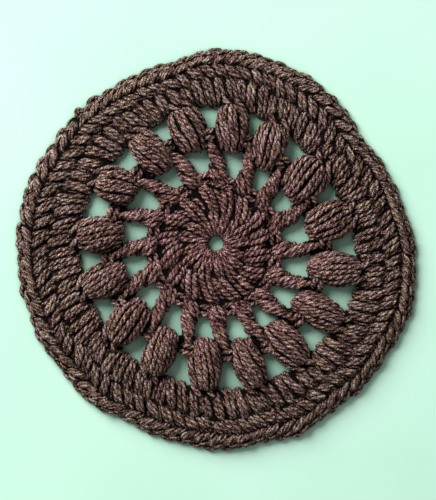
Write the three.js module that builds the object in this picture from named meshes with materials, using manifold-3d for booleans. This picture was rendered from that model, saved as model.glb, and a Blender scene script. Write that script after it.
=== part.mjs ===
// Crochet coaster: one cloth worked in rounds from one length of brown worsted yarn, lying flat.
// A starting ring of stitches, sixteen posts with a hole between each two, sixteen plump puffs
// with a taller hole between each two, a solid band of tall stitches and an edging of short ones.
// Millimetres, +Z up. The coaster lies on z = 0, with the middle of its box on the Z axis.
import * as THREE from "three";
import { mergeVertices } from "three/addons/utils/BufferGeometryUtils.js";
import Module from "manifold-3d";

// The hand-worked edge is not quite round, so the starting ring lies a little off the middle.
const HUB = new THREE.Vector2(-0.13, 1.72);
const CENTRE_HOLE_RADIUS = 2.6;

// How high the cloth stands in each round.
const DISC_HEIGHT = 4.2;
const DISC_GROOVE_HEIGHT = 3.4;
const FOOT_HEIGHT = 3.7;
const POST_HEIGHT = 3.9;
const NECK_HEIGHT = 3.6;
const PUFF_HEIGHT = 7.4;
const BAND_HEIGHT = 4.6;
const SEAM_HEIGHT = 4.0;
const EDGE_HEIGHT = 4.2;

// How much lower the cloth is at its borders, and how far it rounds in there.
const BORDER_DROP = 0.6;
const BORDER_ROUNDING = 0.8;

// The posts: tall stitches which lean back, so that the top lies anticlockwise of the foot.
const POST_WIDTH = 5.2;
const POST_FOOT_LEAN_DEG = -2;
const POST_TOP_LEAN_DEG = 4;
const POST_INTO_DISC = 2;
const POST_INTO_NECK = 1.5;
const POST_SHAPE = [
  [0, 0],
  [0, 0.9],
  [0.35, 1],
  [1, 0.88],
  [1, 0],
];

// The neck at the top of a post, which ties it to the puffs on both sides.
const NECK_WIDTH = 6;
const NECK_OVERLAP_DEG = 5;
const NECK_SHAPE = [
  [0, 0],
  [0, 0.8],
  [0.5, 1],
  [1, 0.8],
  [1, 0],
];

// The puffs: rounded where they leave the hole below, full in the middle, tied in at the top.
const PUFF_LEAN_DEG = 3;
const PUFF_TOP_OVERLAP = 2.4;
const PUFF_SHAPE = [
  [0, 0],
  [0.02, 0.5],
  [0.12, 0.84],
  [0.35, 1],
  [0.6, 0.98],
  [0.84, 0.8],
  [1, 0.56],
  [1, 0],
];

// The edging: short stitches, each of which stands out a little as a scallop.
const EDGE_STITCHES = 80;
const SCALLOP_DEPTH = 0.5;
const STEPS_PER_STITCH = 2;

// The step where the last round was joined: the edge swells and drops back within two stitches.
const JOIN_DEG = 137;
const JOIN_SPREAD_DEG = 2;
const JOIN_RISE = 0.6;

const NECK_SIDES = 6;
const POST_SIDES = 8;
const PUFF_SIDES = 12;
const DISC_STEPS = 40;
const BELOW = 2; // how far every piece is carried under the table before the underside is cut flat
const SLAB_SIZE = 200; // of the block that keeps what is above the table

// The sixteen wedges, clockwise from the top. Angles in degrees, anticlockwise from +X; radii from
// the middle of the starting ring. Each wedge is a puff, then the gap and the post clockwise of it.
const WEDGE_COLUMNS = [
  "puff", // angle of the puff's middle
  "width", // of the puff
  "hole", // angle of the hole under the puff
  "foot", // radius where that hole starts
  "seat", // radius where that hole ends and the puff begins
  "edge", // radius of the coaster's edge beyond the puff
  "post", // angle of the post's middle
  "gap", // angle of the tall hole's middle
  "neck", // radius where the tall hole starts
  "roof", // radius where it ends and the band begins
  "gapEdge", // radius of the coaster's edge beyond the gap
];
const WEDGES = [
  [103.5, 12.1, 102, 23.4, 30.1, 60.9, 89.5, 94, 37.7, 44.7, 63.2],
  [82, 11.1, 80, 21.9, 29.7, 63.4, 66.5, 73.5, 36.7, 43.7, 62.8],
  [61.5, 11.9, 55.5, 21.8, 28.1, 62.2, 45, 51, 36.1, 41.8, 61.3],
  [35.5, 13.6, 33, 21.9, 27.5, 58.8, 20, 24.5, 35.8, 42.2, 60.9],
  [11, 12.9, 9.5, 21.4, 29.1, 62.5, -4.5, 0.5, 37.7, 45, 64.8],
  [-12, 11.4, -15.5, 22.4, 30.4, 66.2, -27, -21.5, 37.5, 47.4, 67.4],
  [-33.5, 10.8, -35, 22.7, 30.7, 66.5, -48, -42.5, 38.5, 46.6, 67.1],
  [-55, 11.1, -55, 23.7, 31, 66.2, -67, -63.5, 39.5, 47.3, 67.8],
  [-75, 10.3, -75.5, 23.7, 31.4, 66.6, -88, -83.5, 38.5, 47.3, 67.2],
  [-95.5, 11.1, -96.5, 24, 30.4, 66.2, -109, -105, 37.7, 46.1, 65.4],
  [-117.5, 10.6, -119, 23.7, 31, 65.1, -130.5, -126, 38.8, 46.1, 66.5],
  [-138.5, 11.6, -141, 23.7, 29.7, 64.8, -154, -148.5, 38.8, 44.5, 65.8],
  [-162, 11.6, -161.5, 23.1, 30.1, 64.9, -176.5, -171.5, 37.5, 44.4, 65.1],
  [-184.5, 12.3, -185.5, 22.7, 29.7, 64.8, -200, -196, 37.1, 43.7, 64.5],
  [-210.5, 12.1, -209, 22.4, 30.1, 62.8, -223.5, -221, 36.7, 42.4, 62.7],
  [-234.5, 10.8, -232.5, 22.1, 28.1, 61.6, -247, -243.5, 37.4, 43.1, 61.2],
].map((row) => Object.fromEntries(row.map((value, i) => [WEDGE_COLUMNS[i], value])));

const TURN = 360;
const rad = THREE.MathUtils.degToRad;

// An angle brought into one turn.
function wrap(angle) {
  return ((angle % TURN) + TURN) % TURN;
}

// A smooth closed run of radii round the coaster, through [angle, radius] rows.
function around(rows) {
  const anticlockwise = rows
    .map(([angle, radius]) => [wrap(angle), radius])
    .sort((a, b) => a[0] - b[0]);
  const before = anticlockwise.slice(-2).map(([angle, radius]) => [angle - TURN, radius]);
  const after = anticlockwise.slice(0, 2).map(([angle, radius]) => [angle + TURN, radius]);
  const run = [...before, ...anticlockwise, ...after];
  const curve = new THREE.CubicInterpolant(
    run.map((row) => row[0]),
    run.map((row) => row[1]),
    1,
  );
  return (angle) => curve.evaluate(wrap(angle))[0];
}

const footAt = around(WEDGES.map((w) => [w.hole, w.foot]));
const roofAt = around(WEDGES.map((w) => [w.gap, w.roof]));
const smoothEdgeAt = around(WEDGES.flatMap((w) => [[w.puff, w.edge], [w.gap, w.gapEdge]]));

// The edge with its scallops and the step at the join.
function edgeAt(angle) {
  const scallop = SCALLOP_DEPTH * Math.abs(Math.sin((rad(angle) * EDGE_STITCHES) / 2));
  const fromJoin = wrap(angle - JOIN_DEG + TURN / 2) - TURN / 2;
  const join = JOIN_RISE * Math.exp(-((fromJoin / JOIN_SPREAD_DEG) ** 2));
  return smoothEdgeAt(angle) - SCALLOP_DEPTH + scallop + join;
}

// A point on the table at an angle and a radius from the starting ring.
function place(angle, radius) {
  return new THREE.Vector2(Math.cos(rad(angle)), Math.sin(rad(angle))).multiplyScalar(radius);
}

const wasm = await Module();
wasm.setup();

// A closed three.js geometry as a manifold-3d solid.
function solidOf(geometry) {
  geometry.deleteAttribute("normal");
  geometry.deleteAttribute("uv");
  const merged = mergeVertices(geometry, 1e-4);
  const mesh = new wasm.Mesh({
    numProp: 3,
    vertProperties: merged.attributes.position.array,
    triVerts: new Uint32Array(merged.index.array),
  });
  return new wasm.Manifold(mesh);
}

function geometryOf(solid) {
  const mesh = solid.getMesh();
  const geometry = new THREE.BufferGeometry();
  geometry.setAttribute("position", new THREE.BufferAttribute(mesh.vertProperties, 3));
  geometry.setIndex(new THREE.BufferAttribute(mesh.triVerts, 1));
  geometry.computeVertexNormals();
  return geometry;
}

// A ring of cloth between two wandering radii. Each row of the section is how far across the
// ring it lies (0 inner to 1 outer), how far it is drawn in from that, and its height.
function ring(section, steps, innerAt, outerAt) {
  const closed = [...section, section[0]];
  const profile = closed.map(([across, , height]) => new THREE.Vector2(across + 1, height));
  const geometry = new THREE.LatheGeometry(profile, steps);
  geometry.rotateX(Math.PI / 2);
  const position = geometry.attributes.position;
  for (let i = 0; i < position.count; i++) {
    const angle = THREE.MathUtils.radToDeg(Math.atan2(position.getY(i), position.getX(i)));
    const [across, drawn, height] = closed[i % closed.length];
    const radius = THREE.MathUtils.lerp(innerAt(angle), outerAt(angle), across) + drawn;
    const point = place(angle, radius);
    position.setXYZ(i, point.x, point.y, height);
  }
  return solidOf(geometry);
}

// A rounded form lying on the table from one point to another, with the given shape of rows
// [share of the length, share of the width]. Its lower part goes under the table.
function pod(from, to, width, height, shape, sides) {
  const profile = shape.map(([along, wide]) => new THREE.Vector2(wide, along));
  const geometry = new THREE.LatheGeometry(profile, sides);
  const run = to.clone().sub(from);
  const halfHeight = (height + BELOW) / 2;
  geometry.scale(width / 2, run.length(), halfHeight);
  geometry.rotateZ(run.angle() - Math.PI / 2);
  geometry.translate(from.x, from.y, height - halfHeight);
  return solidOf(geometry);
}

function centreDisc() {
  const section = [
    [1, -BORDER_ROUNDING, -BELOW],
    [1, 0, FOOT_HEIGHT / 2],
    [1, -BORDER_ROUNDING, FOOT_HEIGHT - BORDER_DROP],
    [0.9, 0, FOOT_HEIGHT],
    [0.76, 0, DISC_GROOVE_HEIGHT],
    [0.62, 0, DISC_HEIGHT],
    [0.3, 0, DISC_HEIGHT],
    [0, BORDER_ROUNDING, DISC_HEIGHT - BORDER_DROP],
    [0, 0, DISC_HEIGHT / 2],
    [0, BORDER_ROUNDING, -BELOW],
  ];
  return ring(section, DISC_STEPS, () => CENTRE_HOLE_RADIUS, footAt);
}

function bandAndEdging() {
  const section = [
    [1, -2 * BORDER_ROUNDING, -BELOW],
    [1, -BORDER_ROUNDING, 0],
    [1, 0, EDGE_HEIGHT / 2],
    [1, -BORDER_ROUNDING, EDGE_HEIGHT - BORDER_DROP],
    [0.8, 0, EDGE_HEIGHT],
    [0.64, 0, SEAM_HEIGHT],
    [0.3, 0, BAND_HEIGHT],
    [0, BORDER_ROUNDING, BAND_HEIGHT - BORDER_DROP],
    [0, 0, BAND_HEIGHT / 2],
    [0, BORDER_ROUNDING, -BELOW],
  ];
  return ring(section, EDGE_STITCHES * STEPS_PER_STITCH, roofAt, edgeAt);
}

function post(wedge) {
  const from = place(wedge.post + POST_FOOT_LEAN_DEG, footAt(wedge.post) - POST_INTO_DISC);
  const to = place(wedge.post + POST_TOP_LEAN_DEG, wedge.neck - POST_INTO_NECK);
  return pod(from, to, POST_WIDTH, POST_HEIGHT, POST_SHAPE, POST_SIDES);
}

function neck(wedge, next) {
  const radius = wedge.neck - NECK_WIDTH / 2;
  const left = place(wedge.puff - NECK_OVERLAP_DEG, radius);
  const right = place(next.puff + NECK_OVERLAP_DEG, radius);
  return pod(left, right, NECK_WIDTH, NECK_HEIGHT, NECK_SHAPE, NECK_SIDES);
}

function puff(wedge) {
  const from = place(wedge.puff - PUFF_LEAN_DEG / 2, wedge.seat);
  const to = place(wedge.puff + PUFF_LEAN_DEG / 2, roofAt(wedge.puff) + PUFF_TOP_OVERLAP);
  return pod(from, to, wedge.width, PUFF_HEIGHT, PUFF_SHAPE, PUFF_SIDES);
}

// Everything above the table, with a flat underside.
function restOnTable(solid) {
  const slab = new THREE.BoxGeometry(SLAB_SIZE, SLAB_SIZE, SLAB_SIZE);
  slab.translate(0, 0, SLAB_SIZE / 2);
  return solid.intersect(solidOf(slab));
}

function coaster() {
  let cloth = centreDisc().add(bandAndEdging());
  WEDGES.forEach((wedge, i) => {
    const next = WEDGES[(i + 1) % WEDGES.length];
    cloth = cloth.add(post(wedge)).add(neck(wedge, next)).add(puff(wedge));
  });
  const geometry = geometryOf(restOnTable(cloth));
  const yarn = new THREE.MeshStandardMaterial({ color: 0x46302a, roughness: 0.95, metalness: 0 });
  const mesh = new THREE.Mesh(geometry, yarn);
  mesh.name = "coaster";
  mesh.position.set(HUB.x, HUB.y, 0);
  return mesh;
}

const part = new THREE.Group();
part.add(coaster());

export default part;
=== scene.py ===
import math

import bpy
import numpy as np
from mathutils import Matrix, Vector


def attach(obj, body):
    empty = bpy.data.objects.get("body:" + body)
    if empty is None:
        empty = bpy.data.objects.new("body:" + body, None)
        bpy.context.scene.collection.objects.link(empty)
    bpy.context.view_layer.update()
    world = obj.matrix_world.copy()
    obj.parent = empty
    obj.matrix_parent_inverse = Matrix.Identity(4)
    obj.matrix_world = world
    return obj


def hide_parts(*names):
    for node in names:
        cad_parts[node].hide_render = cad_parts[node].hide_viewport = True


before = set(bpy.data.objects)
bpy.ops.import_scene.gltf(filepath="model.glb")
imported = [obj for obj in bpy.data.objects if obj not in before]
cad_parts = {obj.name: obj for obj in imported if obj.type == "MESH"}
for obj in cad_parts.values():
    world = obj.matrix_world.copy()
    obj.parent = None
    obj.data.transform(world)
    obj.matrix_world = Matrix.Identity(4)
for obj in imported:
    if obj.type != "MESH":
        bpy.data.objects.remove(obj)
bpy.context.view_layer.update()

# A crochet coaster lying flat: one brown worsted yarn worked in five rounds. Lengths are in
# millimetres and turned into metres where a mesh is made; angles are degrees anticlockwise from +X.
MM = 0.001
TURN = 360
HUB = np.array([-0.13, 1.72, 0.0])  # middle of the starting ring
CENTRE_HOLE = 2.6  # radius

# How high the cloth stands in each round.
DISC_HEIGHT = 4.2
POST_HEIGHT = 4.3
PUFF_HEIGHT = 7.4
BAND_HEIGHT = 4.6
EDGE_HEIGHT = 4.2

# The sixteen wedges, clockwise from the top. Each is a puff, then the gap and the post clockwise of
# it. Angles and widths as named, radii from the middle of the starting ring.
WEDGE_COLUMNS = (
    "puff",  # angle of the puff's middle
    "width",  # of the puff
    "hole",  # angle of the short hole under the puff
    "foot",  # radius where that hole starts
    "seat",  # radius where that hole ends and the puff begins
    "edge",  # radius of the coaster's edge beyond the puff
    "post",  # angle of the post's middle
    "gap",  # angle of the tall hole's middle
    "neck",  # radius where the tall hole starts
    "roof",  # radius where it ends and the band begins
    "gap_edge",  # radius of the coaster's edge beyond the gap
)
WEDGES = [
    dict(zip(WEDGE_COLUMNS, row))
    for row in (
        (103.5, 12.1, 102, 23.4, 30.1, 60.9, 89.5, 94, 37.7, 44.7, 63.2),
        (82, 11.1, 80, 21.9, 29.7, 63.4, 66.5, 73.5, 36.7, 43.7, 62.8),
        (61.5, 11.9, 55.5, 21.8, 28.1, 62.2, 45, 51, 36.1, 41.8, 61.3),
        (35.5, 13.6, 33, 21.9, 27.5, 58.8, 20, 24.5, 35.8, 42.2, 60.9),
        (11, 12.9, 9.5, 21.4, 29.1, 62.5, -4.5, 0.5, 37.7, 45, 64.8),
        (-12, 11.4, -15.5, 22.4, 30.4, 66.2, -27, -21.5, 37.5, 47.4, 67.4),
        (-33.5, 10.8, -35, 22.7, 30.7, 66.5, -48, -42.5, 38.5, 46.6, 67.1),
        (-55, 11.1, -55, 23.7, 31, 66.2, -67, -63.5, 39.5, 47.3, 67.8),
        (-75, 10.3, -75.5, 23.7, 31.4, 66.6, -88, -83.5, 38.5, 47.3, 67.2),
        (-95.5, 11.1, -96.5, 24, 30.4, 66.2, -109, -105, 37.7, 46.1, 65.4),
        (-117.5, 10.6, -119, 23.7, 31, 65.1, -130.5, -126, 38.8, 46.1, 66.5),
        (-138.5, 11.6, -141, 23.7, 29.7, 64.8, -154, -148.5, 38.8, 44.5, 65.8),
        (-162, 11.6, -161.5, 23.1, 30.1, 64.9, -176.5, -171.5, 37.5, 44.4, 65.1),
        (-184.5, 12.3, -185.5, 22.7, 29.7, 64.8, -200, -196, 37.1, 43.7, 64.5),
        (-210.5, 12.1, -209, 22.4, 30.1, 62.8, -223.5, -221, 36.7, 42.4, 62.7),
        (-234.5, 10.8, -232.5, 22.1, 28.1, 61.6, -247, -243.5, 37.4, 43.1, 61.2),
    )
]

# The yarn: three plies twisted round each other. Where it is drawn tight in a stitch it is thinner.
YARN = 1.95  # thickness
HALF_YARN = YARN / 2
PLIES = 3
PLY_GROOVE = 0.17  # depth of the groove between two plies, as a share of the yarn's radius
PLY_PITCH = 6.6  # length of one full twist

rng = np.random.default_rng(80)


def around(rows):
    """A smooth closed run of values round the coaster, through (angle, value) rows."""
    angles, values = np.array(sorted((angle % TURN, value) for angle, value in rows)).T
    angles = np.concatenate([angles[-2:] - TURN, angles, angles[:2] + TURN])
    values = np.concatenate([values[-2:], values, values[:2]])
    slopes = np.gradient(values, angles)

    def at(angle):
        angle = angle % TURN
        i = min(max(np.searchsorted(angles, angle) - 1, 0), len(angles) - 2)
        span = angles[i + 1] - angles[i]
        t = (angle - angles[i]) / span
        return float(
            (2 * t**3 - 3 * t**2 + 1) * values[i]
            + (t**3 - 2 * t**2 + t) * span * slopes[i]
            + (3 * t**2 - 2 * t**3) * values[i + 1]
            + (t**3 - t**2) * span * slopes[i + 1]
        )

    return at


foot_at = around([(w["hole"], w["foot"]) for w in WEDGES])
roof_at = around([(w["gap"], w["roof"]) for w in WEDGES])
edge_at = around(
    [(w["puff"], w["edge"]) for w in WEDGES] + [(w["gap"], w["gap_edge"]) for w in WEDGES]
)


def spot(angle, radius):
    """The point of the table at an angle and a radius from the starting ring."""
    turn = math.radians(angle)
    return HUB + radius * np.array([math.cos(turn), math.sin(turn), 0])


# --- Yarn -------------------------------------------------------------------------------------

STEP = 0.55  # length of yarn between two sections of its mesh
CURVE_STEPS = 8  # steps of the curve between two points of a strand, before it is evened out
SIDES_PER_PLY = 3
SIDES = PLIES * SIDES_PER_PLY
PLY_SECTION = np.where(np.arange(SIDES) % SIDES_PER_PLY == 0, 1 - PLY_GROOVE, 1.0)
TIP = 0.2  # how far a strand's end stands out past its last section
STRAYING = 0.12  # how far a strand that is held tight strays from its path
LOOSE = 0.2  # and how far one that isn't
STRAYS = (1, 1, 0.6)  # less up and down than along the table
TWIST_BY_GIRTH = 1.5  # thicker yarn is twisted more for its length: the power of its girth
YARN_MADE = 40 * PLY_PITCH  # a strand comes from anywhere in this length of yarn
SLUB = 0.04  # how much thicker the yarn is at a slub
SLUB_RUN = 2.1  # length of yarn for each radian from slub to slub
ROOM_FOR_SLUBS = 1.06  # a strand's thickest places, against its girth

# How much its thickness varies from strand to strand, along a strand, and round it.
GIRTH_SPREAD = 0.04
SECTION_SPREAD = 0.015
CORNER_SPREAD = 0.02


class Yarn:
    """Collects the strands of one round and spins them into one mesh."""

    def __init__(self, name):
        self.name = name
        self.strands = []
        self.piece = None

    def lay(self, points, girth=1.0, straying=STRAYING):
        """Adds a strand through these points. girth is its share of the yarn's thickness."""
        points = points + rng.normal(0, straying, points.shape) * STRAYS
        girth = np.broadcast_to(girth, len(points)) * rng.normal(1, GIRTH_SPREAD)
        points[:, 2] = np.maximum(points[:, 2], HALF_YARN * girth * ROOM_FOR_SLUBS)
        self.strands.append(smooth_run(points, girth))

    def spin(self):
        """Makes the piece, and gives back the yarn with it."""
        tubes = [ply_tube(line, girth) for line, girth in self.strands]
        offsets = np.cumsum([0] + [len(points) for points, _, _ in tubes])
        faces = [
            np.where(face < 0, face, face + offset)
            for (_, face, _), offset in zip(tubes, offsets)
        ]
        self.piece = mesh_piece(
            self.name,
            np.concatenate([points for points, _, _ in tubes]),
            np.concatenate(faces),
            np.concatenate([run for _, _, run in tubes]),
        )
        return self


def smooth_run(points, girth):
    """The strand's middle line as a smooth curve in equal steps, with its girth at each step."""
    ends = np.vstack([2 * points[0] - points[1], points, 2 * points[-1] - points[-2]])
    t = np.linspace(0, 1, CURVE_STEPS + 1)[:-1, None]
    curves = [
        0.5
        * (
            2 * b
            + (c - a) * t
            + (2 * a - 5 * b + 4 * c - d) * t**2
            + (3 * b - a - 3 * c + d) * t**3
        )
        for a, b, c, d in zip(ends, ends[1:], ends[2:], ends[3:])
    ]
    line = np.vstack([*curves, points[-1:]])
    length = run_length(line)
    marks = np.linspace(0, length[-1], max(4, round(length[-1] / STEP) + 1))
    even = np.stack([np.interp(marks, length, line[:, k]) for k in range(3)], 1)
    return even, np.interp(marks, length[::CURVE_STEPS], girth)


def run_length(line):
    """How far along the line each of its points lies."""
    return np.concatenate([[0], np.cumsum(np.linalg.norm(np.diff(line, axis=0), axis=1))])


def unit(vectors):
    """The same directions, each with a length of 1."""
    return vectors / np.linalg.norm(vectors, axis=-1, keepdims=True)


def carried_frames(line):
    """Two directions across the strand at each point, carried along it without twist."""
    ahead = unit(np.gradient(line, axis=0))
    aslant = (0.3, 0.2, 1.0)  # a direction in which no strand sets out
    normals = [unit(np.cross(ahead[0], aslant))]
    for direction in ahead[1:]:
        normals.append(unit(normals[-1] - direction * normals[-1].dot(direction)))
    normals = np.array(normals)
    return normals, np.cross(ahead, normals), ahead


def ply_tube(line, girth):
    """Plied yarn along a line: its points, its faces and the run of each of their corners."""
    normal, other, ahead = carried_frames(line)
    length = run_length(line) + rng.uniform(0, YARN_MADE)
    twist = np.concatenate([[0], np.cumsum(np.diff(length) * girth[1:] ** TWIST_BY_GIRTH)])
    turn = -2 * math.pi * twist / PLY_PITCH
    angle = turn[:, None] + np.arange(SIDES) * 2 * math.pi / SIDES
    slubs = 1 + SLUB * np.sin(length / SLUB_RUN) + rng.normal(0, SECTION_SPREAD, len(line))
    radius = HALF_YARN * (girth * slubs)[:, None] * PLY_SECTION
    radius = radius * (1 + rng.normal(0, CORNER_SPREAD, radius.shape))
    rings = line[:, None] + (
        (radius * np.cos(angle))[..., None] * normal[:, None]
        + (radius * np.sin(angle))[..., None] * other[:, None]
    )
    tips = np.array([line[0] - ahead[0] * TIP, line[-1] + ahead[-1] * TIP])
    walls, caps = tube_faces(len(line))
    points = np.vstack([rings.reshape(-1, 3), tips])
    return points, np.vstack([walls, caps]), corner_runs(walls, length)


def tube_faces(rows):
    """A tube's walls and caps. A cap's triangles meet at a tip, and -1 fills their fourth place."""
    i, j = np.indices((rows - 1, SIDES)).reshape(2, -1)
    low = i * SIDES
    high = low + SIDES
    following = (j + 1) % SIDES
    walls = np.stack([low + j, low + following, high + following, high + j], 1)
    side = np.arange(SIDES)
    following = (side + 1) % SIDES
    last = (rows - 1) * SIDES
    first_tip = np.full(SIDES, rows * SIDES)
    none = np.full(SIDES, -1)
    first_cap = np.stack([following, side, first_tip, none], 1)
    last_cap = np.stack([last + side, last + following, first_tip + 1, none], 1)
    return walls, np.vstack([first_cap, last_cap])


def corner_runs(walls, length):
    """(length along the yarn, share of the way round it, carried by the plies) at each corner."""
    column = walls[:, 0] % SIDES
    wall_across = np.stack([column, column + 1, column + 1, column], 1)
    side = np.arange(SIDES)
    first_cap = np.stack([side + 1, side, side, side], 1)
    last_cap = np.stack([side, side + 1, side, side], 1)
    across = np.vstack([wall_across, first_cap, last_cap]) / SIDES
    cap_along = np.repeat([length[0], length[-1]], SIDES)[:, None] * np.ones(4)
    along = np.vstack([length[walls // SIDES], cap_along])
    return np.stack([along, across], -1)


def mesh_piece(name, points, faces, runs=None):
    """A smooth mesh object of these points. A face has four corners, or three and a -1."""
    used = faces >= 0
    totals = used.sum(1)
    corners = faces[used]
    mesh = bpy.data.meshes.new(name)
    mesh.vertices.add(len(points))
    mesh.vertices.foreach_set("co", (points * MM).astype(np.float32).ravel())
    mesh.loops.add(len(corners))
    mesh.loops.foreach_set("vertex_index", corners.astype(np.int32))
    mesh.polygons.add(len(faces))
    starts = np.cumsum(totals) - totals
    mesh.polygons.foreach_set("loop_start", starts.astype(np.int32))
    mesh.polygons.foreach_set("loop_total", totals.astype(np.int32))
    mesh.polygons.foreach_set("use_smooth", np.ones(len(faces), bool))
    if runs is not None:
        layer = mesh.uv_layers.new(name="yarn_run")
        layer.uv.foreach_set("vector", runs[used].astype(np.float32).ravel())
    mesh.update()
    return placed(name, mesh)


def placed(name, data):
    """A new object of this mesh, camera or lamp, in the scene."""
    thing = bpy.data.objects.new(name, data)
    bpy.context.scene.collection.objects.link(thing)
    return thing


# --- Stitches ---------------------------------------------------------------------------------

SAG = 0.10  # how much less up a strand is, for each mm that it lies beside its leg's middle


class Stitch:
    """The place of one stitch on the table, along a route of (angle, radius, width) stops.

    at() turns rows of (across, along, up, spread) into points: across is a share of the width,
    clockwise of the route; along is 0 at the foot and 1 at the head, unless start and end say
    otherwise; up is 0 for yarn that lies on the table and 1 for yarn on top of the cloth. apart is
    how far the strand lies clockwise of its leg's middle where the stitch is widest, and spread is
    the share of that which is left at a row.
    """

    def __init__(self, route, height):
        stops = np.array([spot(angle, radius)[:2] for angle, radius, _ in route])
        gaps = np.linalg.norm(np.diff(stops, axis=0), axis=1)
        self.marks = np.concatenate([[0], np.cumsum(gaps)]) / gaps.sum()
        self.widths = [width for *_, width in route]
        bend = min(len(route) - 1, 3)
        self.lines = [np.polynomial.Polynomial.fit(self.marks, s, bend) for s in stops.T]
        self.rise = height - YARN

    def at(self, rows, start=0.0, end=1.0, apart=0.0):
        side, along, up, *spread = np.array(rows, float).T
        along = start + along * (end - start)
        width = np.interp(along, self.marks, self.widths)
        across = side * width
        if apart:
            across = across + apart * spread[0] * width / max(self.widths)
            up = up - SAG * abs(apart)
        x, y = (line(along) for line in self.lines)
        dx, dy = (line.deriv()(along) for line in self.lines)
        speed = np.hypot(dx, dy)
        height = HALF_YARN + up * self.rise
        return np.stack([x + across * dy / speed, y - across * dx / speed, height], 1)


# A leg or a knot is a pair of strands that lie side by side and come together at their ends: a
# loop that comes down the front of the stitch, turns round what it was worked into and goes back
# up behind.
LEG = [  # from the foot, along = 0, to the waist
    (-0.22, 1.12, 0.30, 0.3),
    (-0.24, 0.96, 0.74, 0.6),
    (-0.13, 0.70, 1.04, 0.98),
    (0.02, 0.44, 1.06, 1.0),
    (0.13, 0.20, 0.84, 1.0),
    (0.19, 0.04, 0.44, 0.9),
    (0.18, -0.02, 0.10, 0.5),
    (0.08, 0.22, 0.00, 0.5),
    (-0.10, 0.95, 0.08, 0.4),
]
RING_LEG = [  # the same, but its foot lies high, on the starting ring
    *LEG[:4],
    (0.13, 0.20, 1.00, 1.0),
    (0.19, 0.05, 0.86, 0.9),
    (0.18, -0.03, 0.45, 0.5),
    (0.08, 0.04, 0.00, 0.5),
    (-0.10, 0.95, 0.08, 0.4),
]
KNOT = [  # from the waist to the head
    (-0.40, 1.06, 0.20, 0.5),
    (-0.36, 0.94, 0.78, 0.9),
    (-0.14, 0.66, 1.06, 1.0),
    (0.14, 0.30, 1.02, 1.0),
    (0.32, 0.03, 0.70, 0.9),
    (0.32, -0.12, 0.34, 0.6),
    (0.10, 0.10, 0.05, 0.3),
    (0.00, 0.55, 0.00, 0.5),
    (-0.10, 0.98, 0.08, 0.4),
]
WAIST_WRAP = [
    (-0.44, 0.16, 0.20),
    (-0.24, 0.12, 0.50),
    (0.12, -0.06, 0.60),
    (0.44, -0.24, 0.34),
    (0.22, -0.16, 0.02),
    (-0.16, 0.02, 0.00),
    (-0.40, 0.14, 0.06),
]
WRAP = [  # one turn round a post, about its own middle
    (-0.36, 0.42, 0.25),
    (-0.30, 0.34, 0.76),
    (-0.09, 0.10, 1.06),
    (0.16, -0.18, 0.98),
    (0.32, -0.36, 0.54),
    (0.34, -0.42, 0.15),
    (0.10, -0.08, 0.00),
    (-0.26, 0.28, 0.00),
]

# Yarn that lies lower, in the furrows beside a stitch.
BETWEEN_LEGS = [(0.40, 0.72, 0.26), (0.46, 0.52, 0.65), (0.54, 0.28, 0.66), (0.60, 0.02, 0.38)]
BETWEEN_KNOTS = [(0.20, 1.10, 0.30), (0.34, 0.94, 0.66), (0.60, 0.74, 0.66), (0.80, 0.56, 0.24)]
BESIDE_LEGS = [(-0.50, 0.76, 0.28), (-0.54, 0.50, 0.60), (-0.50, 0.24, 0.56), (-0.44, 0.00, 0.28)]
BESIDE_KNOTS = [(0.46, 0.88, 0.20), (0.60, 0.76, 0.56), (0.76, 0.60, 0.68), (0.88, 0.40, 0.34)]

# One leg of a chain's V: (run from its point, spread from the chain's middle line, up), as
# shares of the chain's pitch, half width and height.
CHAIN_LEG = np.array(
    [
        (-0.35, 0.10, 0.25),
        (-0.12, 0.25, 0.80),
        (0.20, 0.75, 1.00),
        (0.60, 1.00, 0.95),
        (0.92, 0.80, 0.50),
        (1.12, 0.45, 0.15),
    ]
)
CHAIN_MIDDLE = 0.4  # of the V's run, which lies at the angle that the chain is given

PAIR = (-0.5, 0.5)  # how many gaps beside the middle each strand of a pair lies
THREE = (-1, 0, 1)  # and each of three
LEG_FILLED = 0.6  # how far up a leg it has its full girth
WAIST_GIRTH = 0.85  # of the wrap round the waist, against the leg's


def leaning(rows, lean):
    """These rows with the strand's way across the stitch drawn out or in."""
    return [(across * lean, *rest) for across, *rest in rows]


def tall_stitch(yarn, stitch, waist, leg, foot, leg_gap, legs=PAIR, lean=1.0, rows=LEG):
    """The lower part of a tall stitch: strands up to its waist, and the wrap round them there.

    leg and foot are girths, and leg_gap is the distance between the middles of two strands.
    """
    leg_girth = np.interp([row[1] for row in rows], [0, LEG_FILLED], [foot, leg])
    for side in legs:
        yarn.lay(stitch.at(leaning(rows, lean), 0, waist, side * leg_gap), leg_girth)
    yarn.lay(stitch.at(WAIST_WRAP, waist, 1), leg * WAIST_GIRTH)


def bead(yarn, stitch, waist, girth, gap, lean):
    """The knot at the head of a tall stitch: two strands that lean anticlockwise, side by side."""
    for side in PAIR:
        yarn.lay(stitch.at(leaning(KNOT, lean), waist, 1, side * gap), girth)


def flat_chain(yarn, angle, radius, pitch, half_width, height, girth=1.0):
    """A V of chain that lies flat, with its point anticlockwise."""
    run, spread, up = CHAIN_LEG.T
    for side in (-1, 1):
        angles = angle - np.degrees((run - CHAIN_MIDDLE) * pitch / radius)
        points = np.array([spot(a, radius + side * half_width * s) for a, s in zip(angles, spread)])
        points[:, 2] = HALF_YARN + up * (height - YARN)
        yarn.lay(points, girth)


# --- Starting ring and first round ------------------------------------------------------------

RING_RADIUS = CENTRE_HOLE + 1.0
RING_HEIGHT = HALF_YARN + 0.4
RING_STEP = 24  # degrees
BEADS_FROM = 12.0  # radius where the stitches are wide enough for their knots
DISC_RIM = 4.2  # how far inside the short holes' start the stitches' heads end
DISC_CHAIN = 2.1  # and how far inside it the chain on them lies


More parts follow.
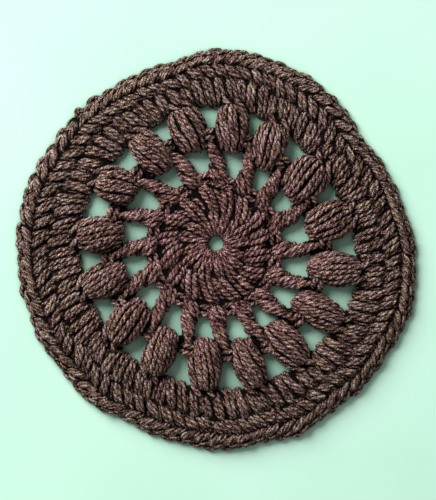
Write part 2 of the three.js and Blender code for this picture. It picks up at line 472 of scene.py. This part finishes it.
def starting_round():
    """Sixteen tall stitches drawn together round the starting ring, swirling out from it."""
    yarn = Yarn("starting_round")
    ring = np.array([spot(angle, RING_RADIUS) for angle in range(0, TURN + 1, RING_STEP)])
    ring[:, 2] = RING_HEIGHT
    yarn.lay(ring)
    for wedge in WEDGES:
        hole = wedge["hole"]
        foot = foot_at(hole)
        rim = foot - DISC_RIM
        swing = rng.normal(0, 2.0)
        route = [
            (hole - 10, CENTRE_HOLE + 0.7, 1.2),
            (hole - 9, 5.9, 2.3),
            (hole - 7.5 + 0.6 * swing, 10.0, 3.7),
            (hole - 6 + swing, BEADS_FROM, 4.3),
            (hole - 3 + swing, 0.5 * (BEADS_FROM + rim), 4.6),
            (hole + 1, rim, 4.3),
        ]
        stitch = Stitch(route, DISC_HEIGHT + rng.uniform(-0.2, 0.3))
        waist = rng.normal(0.53, 0.075)
        leg_lean = rng.uniform(-0.5, 0.6)
        tall_stitch(
            yarn, stitch, waist, leg=1.05, foot=0.66, leg_gap=2.15, lean=leg_lean, rows=RING_LEG
        )
        bead(yarn, stitch, waist, girth=1.17, gap=2.05, lean=rng.uniform(0.0, 1.1))
        yarn.lay(stitch.at(BESIDE_KNOTS), 1.1, LOOSE)
        chain = foot - DISC_CHAIN
        flat_chain(yarn, hole + 1, chain, pitch=7.1, half_width=1.25, height=3.4, girth=1.1)
    return yarn.spin()


# --- Posts ------------------------------------------------------------------------------------

WRAPS = 4
FIRST_WRAP = 0.18  # its middle, as a share of the way from the lowest wrap's start to the head
WRAPS_REACH = 0.62  # from the first wrap's middle to the last one's
POST_WAIST = 0.36  # where its legs end
WRAPS_FROM = 0.28  # where its wraps start, a little below
POST_FOOT = 3.9  # how far inside the short holes' start a post starts
POST_HEAD = 3.2  # and how far inside the tall hole's start it ends


def wraps(yarn, stitch):
    """The upper part of a post: the yarn wrapped round it aslant, turn above turn."""
    for i in range(WRAPS):
        middle = FIRST_WRAP + WRAPS_REACH * i / (WRAPS - 1)
        rows = [(across, middle + along, up) for across, along, up in WRAP]
        yarn.lay(stitch.at(rows, WRAPS_FROM, 1), 1.0, LOOSE)


def post_round():
    """Sixteen posts, with the chain that joins their heads under the puffs."""
    yarn = Yarn("post_round")
    for wedge in WEDGES:
        post = wedge["post"]
        foot = foot_at(post) - POST_FOOT
        head = wedge["neck"] - POST_HEAD
        thick = rng.uniform(0.88, 1.06)
        turned = rng.normal(0, 0.6)
        route = [
            (post - 3.2 - turned, foot, 6.3 * thick),
            (post, 0.5 * (foot + head), 5.6 * thick),
            (post + 3.4 + turned, head, 4.0 * thick),
        ]
        stitch = Stitch(route, POST_HEIGHT)
        tall_stitch(yarn, stitch, POST_WAIST, leg=0.98, foot=0.95, leg_gap=1.6, legs=THREE)
        wraps(yarn, stitch)
        neck = wedge["neck"] - 2.0
        flat_chain(
            yarn, wedge["gap"] + 1.5, neck, pitch=5.4, half_width=1.15, height=4.6, girth=1.15
        )
        seat = wedge["seat"] + 2.6
        flat_chain(yarn, wedge["puff"], seat, pitch=5.6, half_width=0.9, height=3.2)
    return yarn.spin()


# --- Puffs ------------------------------------------------------------------------------------

PUFF_ALONG = (0, 0.02, 0.12, 0.35, 0.6, 0.84, 1)
PUFF_WIDTHS = (0.36, 0.5, 0.72, 0.97, 1.07, 0.93, 0.60)  # share of the full width at each of those
PUFF_RISES = (0.30, 0.46, 0.74, 0.98, 1.04, 0.88, 0.56)  # and of the full height over its middle
PUFF_LEAN = 1.5  # degrees, from its foot to its head
PUFF_MIDDLE = 2.7  # height of the puff's widest level
PUFF_TWIST = 0.23  # of the way round the front, from its foot to its head
TWIST_MIDDLE = 0.45  # how far along the puff its strands lie as they would without the twist
SIDE_CROWDING = 0.12  # how far the strands at its sides are drawn to the front
FRONT_STRANDS = 9
FRONT_SPAN = math.radians(205)
FRONT_STOPS = (0.99, 0.86, 0.68, 0.48, 0.28, 0.12)  # from the head to the foot
FRONT_DRIFT = 0.011  # how far a strand goes off its lane from stop to stop
FRONT_STRAYING = 0.13
SIDE_TURN = 0.12  # how far along the puff the loops at its sides turn round the chain
GIRTH_ALONG = (0.1, 0.5, 1)
PUFF_GIRTHS = (0.84, 0.99, 0.80)  # of a strand at each of those
PARTING_LEVEL = 0.35  # how far along the puff its two bundles lie as if they didn't part
INNER_STRANDS = 3
INNER_SPREAD = 0.6  # share of the puff's width that they take up
TIE = [(0.20, 0.90, 0.42), (0.10, 0.98, 0.58), (-0.06, 1.08, 0.60), (-0.16, 1.16, 0.4)]
TIE_GAP = 0.42  # between the two ties, as a share of the puff's width


def puff(yarn, wedge):
    """Loops of yarn drawn up side by side, turned round the chain below and tied in at the top."""
    width = wedge["width"] - YARN
    route = [
        (wedge["puff"] - PUFF_LEAN / 2, wedge["seat"] + HALF_YARN * 0.8, width),
        (wedge["puff"] + PUFF_LEAN / 2, roof_at(wedge["puff"]) + 1.0, width),
    ]
    stitch = Stitch(route, PUFF_HEIGHT)
    half_rise = PUFF_HEIGHT - PUFF_MIDDLE - HALF_YARN

    def on_front(lane, along):
        """The row on the puff's swelling front, lane being -0.5 to 0.5 from side to side."""
        turn = (lane + PUFF_TWIST * (TWIST_MIDDLE - along)) * FRONT_SPAN
        turn -= SIDE_CROWDING * math.sin(2 * turn)
        across = 0.5 * np.interp(along, PUFF_ALONG, PUFF_WIDTHS) * math.sin(turn)
        rise = half_rise * np.interp(along, PUFF_ALONG, PUFF_RISES) * math.cos(turn)
        return across, along, (PUFF_MIDDLE - HALF_YARN + rise) / stitch.rise

    split = rng.uniform(-0.25, 0.25)  # the lane between the two bundles
    parting = rng.normal(0, 0.022)  # how far each bundle goes its own way
    for i in range(FRONT_STRANDS):
        lane = (i + 0.5) / FRONT_STRANDS - 0.5
        bundle = 1 if lane > split else -1
        turn_at = SIDE_TURN * (2 * lane) ** 2 + rng.uniform(-0.01, 0.02)
        drift = np.cumsum(rng.normal(0, FRONT_DRIFT, len(FRONT_STOPS)))
        rows = []
        for shift, along in zip(drift, FRONT_STOPS):
            place = lane + shift + bundle * parting * (along - PARTING_LEVEL)
            rows.append(on_front(place, turn_at + (1 - turn_at) * along))
        low = rows[-1][0]
        rows += [(low * 0.94, turn_at - 0.01, 0.40), (low * 0.9, turn_at + 0.05, 0.08)]
        if i % 2:  # every other strand goes back up behind
            rows += [(lane * 0.85, 0.34, 0.0), (lane * 0.8, 0.62, 0.0), (lane * 0.5, 0.94, 0.1)]
        girth = np.interp([row[1] for row in rows], GIRTH_ALONG, PUFF_GIRTHS)
        yarn.lay(stitch.at(rows), girth * rng.uniform(1.0, 1.13), FRONT_STRAYING)
    for i in range(INNER_STRANDS):
        lane = (i / (INNER_STRANDS - 1) - 0.5) * INNER_SPREAD
        rows = [(lane * 0.5, 0.96, 0.3), (lane, 0.7, 0.42), (lane, 0.4, 0.42), (lane * 0.8, 0.1, 0.3)]
        yarn.lay(stitch.at(rows))
    for side in PAIR:
        yarn.lay(stitch.at([(across + side * TIE_GAP, along, up) for across, along, up in TIE]))


def puff_round():
    """Sixteen puffs, one on each chain between two posts."""
    yarn = Yarn("puff_round")
    for wedge in WEDGES:
        puff(yarn, wedge)
    return yarn.spin()


# --- Band -------------------------------------------------------------------------------------

STITCHES_A_GAP = 5
FEET = (7.2, 2.5, -1.7, -5.9, -10.8)  # their feet, in degrees anticlockwise of the gap's middle
FOOT_RISE = 0.12  # how much further out a foot stands, for the square of its place from the middle
BAND_WAIST = 0.66
EDGING_WIDTH = 5.2
OVER_PUFF = [  # three strands side by side, where two fans meet over a puff
    (-0.12, 1.02, 0.30, 0.4),
    (-0.12, 0.84, 0.80, 0.8),
    (0.00, 0.50, 1.02, 1.0),
    (0.06, 0.16, 0.98, 1.0),
    (0.10, -0.06, 0.76, 0.8),
    (0.10, -0.20, 0.36, 0.5),
]


def heads():
    """The angle of each of the eighty stitches' heads, five for each gap, clockwise."""
    puffs = [w["puff"] for w in WEDGES] + [WEDGES[0]["puff"] - TURN]
    steps = (np.arange(STITCHES_A_GAP) + 0.5) / STITCHES_A_GAP
    return [float(a + (b - a) * step) for a, b in zip(puffs, puffs[1:]) for step in steps]


HEADS = heads()


def seam_at(angle):
    """The radius of the seam between the band and the edging."""
    return edge_at(angle) - EDGING_WIDTH


def band_round(name, numbers):
    """Tall stitches fanned out over each gap."""
    yarn = Yarn(name)
    for number in numbers:
        wedge = WEDGES[number]
        for k in range(STITCHES_A_GAP):
            angle = HEADS[number * STITCHES_A_GAP + k] + rng.normal(0, 0.35)
            foot_angle = wedge["gap"] + FEET[k] + rng.normal(0, 0.4)
            foot = roof_at(foot_angle) + 0.6 + FOOT_RISE * (k - STITCHES_A_GAP // 2) ** 2
            route = [
                (foot_angle, foot, 3.3),
                (0.4 * foot_angle + 0.6 * angle, 0.4 * roof_at(angle) + 0.6 * seam_at(angle), 4.3),
                (angle, seam_at(angle) - 0.15, 4.4),
            ]
            stitch = Stitch(route, BAND_HEIGHT + rng.uniform(-0.35, 0.3))
            waist = rng.normal(BAND_WAIST, 0.045)
            leg_gap = rng.uniform(1.5, 1.8)
            leg_lean = rng.uniform(0.7, 1.5)
            tall_stitch(yarn, stitch, waist, leg=0.97, foot=0.9, leg_gap=leg_gap, lean=leg_lean)
            knot_gap = rng.uniform(1.3, 1.65)
            knot_lean = rng.uniform(0.85, 1.2)
            bead(yarn, stitch, waist + 0.02, girth=0.96, gap=knot_gap, lean=knot_lean)
            for filler in BETWEEN_LEGS, BETWEEN_KNOTS, BESIDE_LEGS:
                yarn.lay(stitch.at(filler), 0.9, LOOSE)
        top = wedge["puff"]
        route = [(top - 0.6, roof_at(top) + 1.2, 3.2), (top + 0.6, seam_at(top) - 3.8, 3.2)]
        stitch = Stitch(route, BAND_HEIGHT - 0.6)
        for side in THREE:
            yarn.lay(stitch.at(OVER_PUFF, apart=side * 1.6), 0.88)
    return yarn.spin()


# --- Edging -----------------------------------------------------------------------------------
# A short stitch: its leg, from the seam to the rim, the yarn behind it, and the arcs of chain on
# its head, which stand out past the leg's end.

EDGE_LEG = [
    (0.46, 0.80, 0.35, 0.4),
    (0.38, 0.68, 0.78, 0.7),
    (0.16, 0.47, 1.06, 1.0),
    (-0.14, 0.26, 1.04, 1.0),
    (-0.38, -0.02, 0.66, 0.7),
    (-0.44, -0.14, 0.20, 0.4),
]
EDGE_BACK = [
    (0.10, 0.92, 0.20),
    (0.00, 0.60, 0.55),
    (-0.05, 0.20, 0.50),
    (-0.02, 0.00, 0.20),
    (0.05, 0.40, 0.00),
    (0.10, 0.80, 0.00),
]
RIM_ARC = [
    (-0.58, 0.44, 0.10),
    (-0.48, 0.70, 0.34),
    (-0.26, 0.90, 0.56),
    (0.04, 0.98, 0.60),
    (0.32, 0.86, 0.46),
    (0.50, 0.54, 0.15),
]
RIM_ARC_BELOW = [(across + 0.40, along + 0.22, up - 0.50) for across, along, up in RIM_ARC]

# Where the round was closed: a short end of yarn that stands out from the rim, as (angle, distance
# outside the coaster's edge, height over the table's yarn) stops.
JOIN = (
    (137.8, -2.4, 0.9),
    (137.2, -0.5, 1.3),
    (136.3, 0.35, 1.2),
    (135.5, 0.1, 0.7),
    (134.8, -2.2, 0.6),
)
THIN_CHAIN = (136.5, 145.5)  # beside the join, between these angles, the chain is drawn thin
THIN_SHARE = 0.55
EDGE_LEG_GIRTH = 0.84
EDGE_LEG_GAP = 1.3
RIM_GIRTH = 0.84
RIM_GIRTH_BELOW = 0.95


def edge_round():
    """Eighty short stitches and the chain along the rim."""
    yarn = Yarn("edge_round")
    for angle in HEADS:
        edge = edge_at(angle)
        pitch = 2 * math.pi * edge / len(HEADS)
        angle += rng.normal(0, 0.3)
        rim = edge - HALF_YARN - 0.3 + rng.normal(0, 0.2)
        route = [(angle, seam_at(angle) + 0.5, pitch), (angle, rim, pitch)]
        stitch = Stitch(route, EDGE_HEIGHT)
        chain = THIN_SHARE if THIN_CHAIN[0] < angle % TURN < THIN_CHAIN[1] else 1
        for side in THREE:
            leg_girth = EDGE_LEG_GIRTH * (1 + chain) / 2
            yarn.lay(stitch.at(EDGE_LEG, apart=side * EDGE_LEG_GAP), leg_girth)
        yarn.lay(stitch.at(EDGE_BACK), 0.9)
        yarn.lay(stitch.at(RIM_ARC), RIM_GIRTH * chain)
        yarn.lay(stitch.at(RIM_ARC_BELOW), RIM_GIRTH_BELOW * chain)
    join = np.array([spot(angle, edge_at(angle) + out) for angle, out, _ in JOIN])
    join[:, 2] = HALF_YARN + np.array([height for *_, height in JOIN])
    yarn.lay(join, 0.8)
    return yarn.spin()


# --- Loose fibres, and the inside painted as shade --------------------------------------------

HAIRS = 6000
HAIR_THICKNESS = 0.06
HAIR_LENGTHS = (0.8, 3.2)
HAIR_BENDS = 5  # points along a hair
HAIR_ROOT = 0.8  # how far out in the strand it starts, as a share of the strand's radius
HAIR_CURL = 0.35
LOWEST_HAIR = 0.1
HAIR_SECTION = np.array([(1, 0, 0), (-0.5, 0.87, 0), (-0.5, -0.3, 0.8)])


def loose_fibres(strands):
    """Fine hairs that stand out from the strands, each a three-sided thread."""
    lengths = np.array([len(line) for line, _ in strands])
    hairs = []
    for pick in rng.choice(len(strands), HAIRS, p=lengths / lengths.sum()):
        line, girth = strands[pick]
        i = rng.integers(0, len(line) - 1)
        ahead = unit(line[i + 1] - line[i])
        side = unit(np.cross(ahead, rng.normal(0, 1, 3)))
        side[2] = abs(side[2])
        root = line[i] + side * HALF_YARN * girth[i] * HAIR_ROOT
        heading = unit(ahead * rng.choice((-1, 1)) + side * rng.uniform(0.1, 0.9))
        bend = rng.normal(0, HAIR_CURL, 3)
        step = rng.uniform(*HAIR_LENGTHS) / (HAIR_BENDS - 1)
        hair = [root]
        for _ in range(HAIR_BENDS - 1):
            hair.append(hair[-1] + heading * step)
            heading = unit(heading + bend * (1, 1, 0.5))
        hairs.append(hair)
    points = np.array(hairs)
    points[..., 2] = np.clip(points[..., 2], LOWEST_HAIR, PUFF_HEIGHT)
    taper = np.linspace(1, 0.3, HAIR_BENDS) * HAIR_THICKNESS / 2
    rings = points[:, :, None] + taper[:, None, None] * HAIR_SECTION
    hair, i, j = np.indices((HAIRS, HAIR_BENDS - 1, 3)).reshape(3, -1)
    low = (hair * HAIR_BENDS + i) * 3
    following = (j + 1) % 3
    faces = np.stack([low + j, low + following, low + 3 + following, low + 3 + j], 1)
    return mesh_piece("loose_fibres", rings.reshape(-1, 3), faces)


BED_VOXEL = 1.0
BED_SMOOTHING = 6
BED_INSET = 1.0  # how far it lies under the cloth's outer form


def painted_shade_bed():
    """The cloth's inside under the strands: one closed sheet with all holes, for painted shade."""
    bed = placed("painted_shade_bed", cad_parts["coaster"].data.copy())
    remesh = bed.modifiers.new("remesh", "REMESH")
    remesh.mode = "VOXEL"
    remesh.voxel_size = BED_VOXEL * MM
    smooth = bed.modifiers.new("smooth", "SMOOTH")
    smooth.iterations = BED_SMOOTHING
    shrink = bed.modifiers.new("shrink", "DISPLACE")
    shrink.strength = -BED_INSET * MM
    shrink.mid_level = 0
    evaluated = bed.evaluated_get(bpy.context.evaluated_depsgraph_get())
    mesh = bpy.data.meshes.new_from_object(evaluated)
    mesh.name = "painted_shade_bed"
    mesh.materials.clear()
    mesh.polygons.foreach_set("use_smooth", np.ones(len(mesh.polygons), bool))
    bed.modifiers.clear()
    bed.data = mesh
    return bed


# --- Finishes ---------------------------------------------------------------------------------


class Value:
    """A number that changes over a surface. Arithmetic on it adds the nodes that work it out."""

    def __init__(self, finish, socket):
        self.finish = finish
        self.socket = socket

    def _with(self, operation, *values):
        inputs = dict(enumerate(values))
        return self.finish.node("ShaderNodeMath", {"operation": operation}, inputs)

    def __add__(self, other):
        return self._with("ADD", self, other)

    def __sub__(self, other):
        return self._with("SUBTRACT", self, other)

    def __rsub__(self, other):
        return self._with("SUBTRACT", other, self)

    def __mul__(self, other):
        return self._with("MULTIPLY", self, other)

    __radd__ = __add__
    __rmul__ = __mul__

    def fraction(self):
        return self._with("FRACT", self)

    def size(self):
        return self._with("ABSOLUTE", self)

    def between(self, low, high):
        """0 up to low and 1 from high, with a smooth rise between them."""
        inputs = {0: self, 1: low, 2: high}
        return self.finish.node("ShaderNodeMapRange", {"interpolation_type": "SMOOTHSTEP"}, inputs)


class Finish:
    """A material made of nodes."""

    def __init__(self, name):
        self.material = bpy.data.materials.new(name)
        self.material.use_nodes = True
        self.tree = self.material.node_tree
        self.tree.nodes.clear()
        self.place = self.node("ShaderNodeTexCoord", {}, {}, "Object")

    def node(self, kind, settings, inputs, output=0):
        """Adds a node: its settings first, then its sockets' values or links."""
        made = self.tree.nodes.new(kind)
        for name, value in settings.items():
            if name == "stops":
                set_stops(made.color_ramp.elements, value)
            else:
                setattr(made, name, value)
        for name, value in inputs.items():
            if isinstance(value, Value):
                self.tree.links.new(value.socket, made.inputs[name])
            else:
                made.inputs[name].default_value = value
        return Value(self, made.outputs[output]) if made.outputs else None

    def point(self, *places):
        """A place with these coordinates."""
        return self.node("ShaderNodeCombineXYZ", {}, dict(enumerate(places)))

    def noise(self, place, scale, detail=1.0, roughness=0.5):
        """Random cloudiness round 0.5, with about this many patches for each unit of place."""
        inputs = {"Vector": place, "Scale": scale, "Detail": detail, "Roughness": roughness}
        return self.node("ShaderNodeTexNoise", {}, inputs)

    def ramp(self, value, *stops):
        """The colour at this value, from (value, colour) stops, lowest first."""
        return self.node("ShaderNodeValToRGB", {"stops": stops}, {0: value})

    def mix(self, share, first, second):
        """The first colour where share is 0, the second where it is 1."""
        inputs = {0: share, 6: first, 7: second}
        return self.node("ShaderNodeMix", {"data_type": "RGBA"}, inputs, 2)

    def multiply(self, first, second):
        settings = {"data_type": "RGBA", "blend_type": "MULTIPLY"}
        return self.node("ShaderNodeMix", settings, {0: 1.0, 6: first, 7: second}, 2)

    def openness(self, distance, samples):
        """1 in the open, towards 0 in a crevice narrower than this distance in millimetres."""
        inputs = {"Distance": distance * MM}
        return self.node("ShaderNodeAmbientOcclusion", {"samples": samples}, inputs, 1)

    def bump(self, strength, distance, height):
        """A relief of this depth in millimetres."""
        inputs = {"Strength": strength, "Distance": distance * MM, "Height": height}
        return self.node("ShaderNodeBump", {}, inputs)

    def surface(self, inputs):
        shader = self.node("ShaderNodeBsdfPrincipled", {}, inputs)
        self.node("ShaderNodeOutputMaterial", {}, {"Surface": shader})
        return self.material


def set_stops(elements, stops):
    """Gives a new colour ramp these (place, colour) stops, lowest first."""
    elements[0].position = stops[0][0]
    elements[1].position = stops[-1][0]
    for place, _ in stops[1:-1]:
        elements.new(place)
    for element, (_, shade) in zip(elements, stops):
        element.color = shade


def colour(red, green, blue):
    return (red, green, blue, 1.0)


# near-black painted shade for the yarn's crevices
CREVICE_PAINTED_SHADE = colour(0.0012, 0.0006, 0.0005)
INNER_ROUNDS = 20  # distance from the coaster's middle up to which the yarn has its redder tone
OUTER_ROUNDS = 58  # and from which it has its browner one


def yarn_finish(name):
    """Brown acrylic yarn with paler fibres along it; painted shade between its plies and strands."""
    finish = Finish(name)
    place = finish.place
    run = finish.node("ShaderNodeUVMap", {"uv_map": "yarn_run"}, {})
    along = finish.node("ShaderNodeSeparateXYZ", {}, {0: run}, 0)
    across = finish.node("ShaderNodeSeparateXYZ", {}, {0: run}, 1)

    # 0 in the groove between two plies, 1 on the crest of a ply
    wander = (finish.noise(place, 700) - 0.5) * 0.5
    ply = 1 - 2 * ((across * PLIES + wander).fraction() - 0.5).size()

    # fibres lie along the yarn, so they cross its plies, and shorter dashes lie along each ply
    fibres = finish.noise(
        finish.point((across - along * (1 / PLY_PITCH)) * 15, along * 0.8), 1.0, 3.0, 0.6
    )
    dashes = finish.noise(finish.point(across * PLIES * 0.9, along * 0.45), 1.0)
    strand = finish.noise(finish.point(along * 0.03), 1.0)

    # unevenness that doesn't follow the plies, from 3 mm patches to 0.25 mm speckle
    patches = finish.noise(place, 340, 2.0)
    grain = finish.noise(place, 1500, 2.0, 0.6)
    speckle = finish.noise(place, 4200)

    # painted shade in 1 mm crevices and between plies, painted highlight on the plies' crests
    lightness = (
        finish.openness(1.0, samples=6).between(0.35, 0.95) * 0.33
        + ply.between(0.0, 0.62) * 0.32
        + (fibres - 0.5) * 0.38
        + (dashes - 0.5) * 0.66
        + (grain - 0.5) * 1.05
        + (speckle - 0.5) * 2.7
        + (patches - 0.5) * 0.75
        + (strand - 0.5) * 0.5
        - 0.128
    )
    brown = finish.ramp(
        lightness,
        (0.1, colour(0.006, 0.0022, 0.0018)),
        (0.4, colour(0.097, 0.0395, 0.031)),
        (0.7, colour(0.306, 0.172, 0.134)),
        (1.0, colour(0.67, 0.52, 0.465)),
    )
    rosy = finish.multiply(brown, colour(0.99, 0.94, 1.12))
    olive = finish.multiply(brown, colour(1.02, 1.03, 0.84))
    brown = finish.mix(finish.noise(place, 520, 2.0, 0.6).between(0.34, 0.66), rosy, olive)

    redder = finish.multiply(brown, colour(1.06, 0.95, 1.045))
    browner = finish.multiply(brown, colour(0.95, 1.06, 1.03))
    outward = finish.node("ShaderNodeVectorMath", {"operation": "LENGTH"}, {0: place}, 1)
    brown = finish.mix(outward.between(INNER_ROUNDS * MM, OUTER_ROUNDS * MM), redder, browner)

    # painted shade: the yarn goes near-black in crevices narrower than 3 mm
    open_air = finish.openness(3.0, samples=6).between(0.50, 0.99)
    return finish.surface(
        {
            "Base Color": finish.mix(open_air, CREVICE_PAINTED_SHADE, brown),
            "Roughness": 0.75,
            "Specular IOR Level": 0.04,
            "Sheen Weight": 0.01,
            "Sheen Roughness": 0.4,
            "Normal": finish.bump(1.0, 0.28, ply + fibres * 0.3 + grain * 0.3),
        }
    )


def hair_finish():
    """Single fibres, paler than the yarn they come from."""
    finish = Finish("loose_fibre")
    tone = finish.noise(finish.place, 300)
    shade = finish.ramp(
        tone, (0.35, colour(0.10, 0.055, 0.042)), (0.65, colour(0.42, 0.27, 0.21))
    )
    return finish.surface({"Base Color": shade, "Roughness": 0.7, "Specular IOR Level": 0.3})


def bed_finish():
    """The inside of the cloth, painted near-black as shade, with a felt-like relief."""
    finish = Finish("yarn_inside_painted_shade")
    felt = finish.noise(finish.place, 900, 3.0)
    shade = finish.ramp(
        felt, (0.3, colour(0.0015, 0.0012, 0.0012)), (0.7, colour(0.007, 0.0045, 0.004))
    )
    return finish.surface(
        {
            "Base Color": shade,
            "Roughness": 0.95,
            "Specular IOR Level": 0.05,
            "Normal": finish.bump(0.8, 0.6, felt),
        }
    )


# painted shade on the floor, close to the coaster and in its holes
FLOOR_PAINTED_SHADE_BESIDE = colour(0.39, 0.65, 0.51)
FLOOR_PAINTED_SHADE_IN_HOLES = colour(0.30, 0.50, 0.39)


def floor_finish():
    """A plain pale green floor, with painted shade a little darker by the coaster and in its holes.
    """
    finish = Finish("pale_floor")
    clouds = finish.noise(finish.place, 12, 2.0)
    shade = finish.ramp(
        clouds, (0.3, colour(0.56, 0.90, 0.72)), (0.7, colour(0.64, 0.96, 0.79))
    )
    # painted shade: the floor darkens where the coaster closes it in, most in its holes
    wide = finish.openness(30, samples=8).between(0.40, 0.84)
    narrow = finish.openness(8, samples=8).between(0.10, 0.45)
    shade = finish.mix(wide, FLOOR_PAINTED_SHADE_BESIDE, shade)
    shade = finish.mix(narrow, FLOOR_PAINTED_SHADE_IN_HOLES, shade)
    return finish.surface({"Base Color": shade, "Roughness": 0.9, "Specular IOR Level": 0.1})


# --- The coaster ------------------------------------------------------------------------------

HALF_WAY = len(WEDGES) // 2  # the band is two pieces, of half the wedges each

# the bed is painted near-black as shade in the gaps between the strands
bed = painted_shade_bed()
bed.data.materials.append(bed_finish())

worked = [
    starting_round(),
    post_round(),
    puff_round(),
    band_round("band_round_1", range(HALF_WAY)),
    band_round("band_round_2", range(HALF_WAY, len(WEDGES))),
    edge_round(),
]
yarn_material = yarn_finish("brown_yarn")
for yarn in worked:
    yarn.piece.data.materials.append(yarn_material)
fuzz = loose_fibres([strand for yarn in worked for strand in yarn.strands])
fuzz.data.materials.append(hair_finish())

rounds = [*(yarn.piece for yarn in worked), fuzz]
for piece in [bed, *rounds]:
    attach(piece, "root")
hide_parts("coaster")

# --- Floor, camera and light, in metres -------------------------------------------------------

FLOOR_REACH = 1.5
VIEW_MIDDLE = (0.00049, -0.00033)
VIEW_HEIGHT = 0.1625  # of what shows, at the level of the cloth's upper side
VIEW_LEVEL = 0.004
CAMERA_ABOVE = 0.9
SENSOR = 36  # millimetres
LAMP_PLACE = (-0.62, 0.74, 0.66)
LAMP_SIZE = 0.9
LAMP_POWER = 23.5
ROOM_LIGHT = 0.26

corners = [(x * FLOOR_REACH, y * FLOOR_REACH, 0) for x, y in ((-1, -1), (1, -1), (1, 1), (-1, 1))]
floor_mesh = bpy.data.meshes.new("floor")
floor_mesh.from_pydata(corners, [], [(0, 1, 2, 3)])
floor_mesh.materials.append(floor_finish())
placed("floor", floor_mesh)

camera_data = bpy.data.cameras.new("camera")
camera_data.sensor_width = SENSOR
camera_data.lens = SENSOR * (CAMERA_ABOVE - VIEW_LEVEL) / VIEW_HEIGHT
camera = placed("camera", camera_data)
camera.location = (*VIEW_MIDDLE, CAMERA_ABOVE)
bpy.context.scene.camera = camera

lamp_data = bpy.data.lights.new("window", "AREA")
lamp_data.shape = "DISK"
lamp_data.size = LAMP_SIZE
lamp_data.energy = LAMP_POWER
lamp = placed("window", lamp_data)
lamp.location = LAMP_PLACE
lamp.rotation_euler = (-Vector(LAMP_PLACE)).to_track_quat("-Z", "Y").to_euler()

world = bpy.data.worlds.new("room")
world.use_nodes = True
background = world.node_tree.nodes["Background"]
background.inputs["Color"].default_value = (1, 1, 1, 1)
background.inputs["Strength"].default_value = ROOM_LIGHT
bpy.context.scene.world = world
bpy.context.scene.view_settings.view_transform = "Standard"
